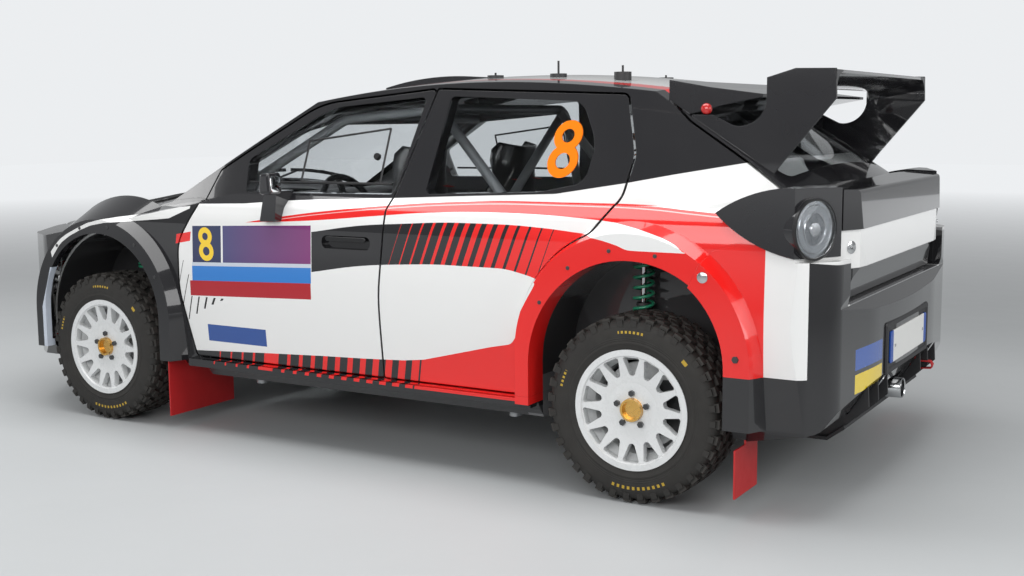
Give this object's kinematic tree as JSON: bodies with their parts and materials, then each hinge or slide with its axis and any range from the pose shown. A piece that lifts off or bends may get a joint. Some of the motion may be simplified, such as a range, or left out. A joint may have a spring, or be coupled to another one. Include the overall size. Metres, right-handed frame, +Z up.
{
  "type": "rally car",
  "caption": "Closed rally hatchback with flared arches, tall rear wing, roof scoop, roll cage and gravel wheels; doors, lids, steering and wheels all move",
  "frame": {"origin": "on the floor under the middle of the car's box, standing on its tyres", "axes": "+X forward, +Y to the car's left, +Z up"},
  "size_m": [4.0711, 1.868, 1.5129],
  "materials": {
    "paint_white": "gloss",
    "paint_black": "gloss",
    "plastic_black": "matte",
    "lamp_clear": "gloss",
    "glass": "gloss",
    "rubber_red": "satin",
    "guard_metal": "brushed",
    "cage_steel": "satin",
    "seat_cloth": "matte",
    "cast_metal": "rough",
    "spring_green": "gloss",
    "wheel_silver": "gloss",
    "tyre": "matte"
  },
  "bodies": {
    "root": {"body_shell": "paint_white", "front_frame": "paint_white", "floor_pan": "paint_white", "firewall": "paint_white", "front_rails": "paint_white", "centre_tunnel": "paint_white", "roof_panel": "paint_white", "jack_sockets": "guard_metal", "front_wings": "paint_black", "front_bumper": "paint_white", "grille": "plastic_black", "headlamps": "lamp_clear", "rear_bumper": "paint_white", "diffuser": "plastic_black", "tail_lamps": "paint_black", "windscreen": "glass", "side_skirts": "paint_white", "mud_flaps": "rubber_red", "roof_scoop": "paint_white", "roof_aerials": "plastic_black", "underguard": "guard_metal", "roll_cage": "cage_steel", "seats": "seat_cloth", "dashboard": "plastic_black", "engine_block": "cast_metal", "exhaust": "cage_steel", "front_subframe": "cast_metal", "rear_suspension": "cast_metal", "rear_struts": "spring_green", "drive_shafts": "cast_metal"},
    "front_door_left": {"front_door_left": "paint_white", "front_glass_left": "glass", "mirror_left": "paint_black"},
    "rear_door_left": {"rear_door_left": "paint_white", "rear_glass_left": "glass"},
    "knuckle_left": {"front_knuckle_left": "cast_metal", "front_strut_left": "spring_green"},
    "wheel_front_left": {"wheel_front_left": "wheel_silver", "tyre_front_left": "tyre"},
    "wheel_rear_left": {"wheel_rear_left": "wheel_silver", "tyre_rear_left": "tyre"},
    "front_door_right": {"front_door_right": "paint_white", "front_glass_right": "glass", "mirror_right": "paint_black"},
    "rear_door_right": {"rear_door_right": "paint_white", "rear_glass_right": "glass"},
    "knuckle_right": {"front_knuckle_right": "cast_metal", "front_strut_right": "spring_green"},
    "wheel_front_right": {"wheel_front_right": "wheel_silver", "tyre_front_right": "tyre"},
    "wheel_rear_right": {"wheel_rear_right": "wheel_silver", "tyre_rear_right": "tyre"},
    "bonnet": {"bonnet": "paint_black"},
    "tailgate": {"tailgate": "paint_white", "tailgate_glass": "glass", "rear_wing": "paint_black"},
    "steering_wheel": {"steering_wheel": "plastic_black"}
  },
  "joints": [
    {"name": "front_door_left_hinge", "type": "hinge", "parent": "root", "child": "front_door_left", "pos_m": [0.757, 0.858, 0.64], "axis": [0, 0, -1], "range_deg": [0, 65]},
    {"name": "rear_door_left_hinge", "type": "hinge", "parent": "root", "child": "rear_door_left", "pos_m": [-0.285, 0.858, 0.64], "axis": [0, 0, -1], "range_deg": [0, 65]},
    {"name": "front_door_right_hinge", "type": "hinge", "parent": "root", "child": "front_door_right", "pos_m": [0.757, -0.858, 0.64], "axis": [0, 0, 1], "range_deg": [0, 65]},
    {"name": "rear_door_right_hinge", "type": "hinge", "parent": "root", "child": "rear_door_right", "pos_m": [-0.285, -0.858, 0.64], "axis": [0, 0, 1], "range_deg": [0, 65]},
    {"name": "bonnet_hinge", "type": "hinge", "parent": "root", "child": "bonnet", "pos_m": [1.075, 0, 1.002], "axis": [0, -1, 0], "range_deg": [0, 60]},
    {"name": "tailgate_hinge", "type": "hinge", "parent": "root", "child": "tailgate", "pos_m": [-1.325, 0, 1.422], "axis": [0, 1, 0], "range_deg": [0, 75]},
    {"name": "steer_left", "type": "hinge", "parent": "root", "child": "knuckle_left", "pos_m": [1.198, 0.69, 0.322], "axis": [0, -0.162, 0.9868], "range_deg": [-28, 28]},
    {"name": "steer_right", "type": "hinge", "parent": "root", "child": "knuckle_right", "pos_m": [1.198, -0.69, 0.322], "axis": [0, 0.162, 0.9868], "range_deg": [-28, 28]},
    {"name": "steering_wheel_turn", "type": "hinge", "parent": "root", "child": "steering_wheel", "pos_m": [0.215, 0.37, 0.905], "axis": [-0.9135, 0, 0.4067], "range_deg": [-340, 340]},
    {"name": "wheel_front_left_spin", "type": "hinge", "parent": "knuckle_left", "child": "wheel_front_left", "pos_m": [1.198, 0.775, 0.322], "axis": [0, 1, 0], "continuous": true},
    {"name": "wheel_front_right_spin", "type": "hinge", "parent": "knuckle_right", "child": "wheel_front_right", "pos_m": [1.198, -0.775, 0.322], "axis": [0, 1, 0], "continuous": true},
    {"name": "wheel_rear_left_spin", "type": "hinge", "parent": "root", "child": "wheel_rear_left", "pos_m": [-1.342, 0.775, 0.322], "axis": [0, 1, 0], "continuous": true},
    {"name": "wheel_rear_right_spin", "type": "hinge", "parent": "root", "child": "wheel_rear_right", "pos_m": [-1.342, -0.775, 0.322], "axis": [0, 1, 0], "continuous": true}
  ],
  "couplings": [
    {"joint": "steer_right", "follows": "steer_left", "ratio": 1},
    {"joint": "steering_wheel_turn", "follows": "steer_left", "ratio": 12}
  ]
}
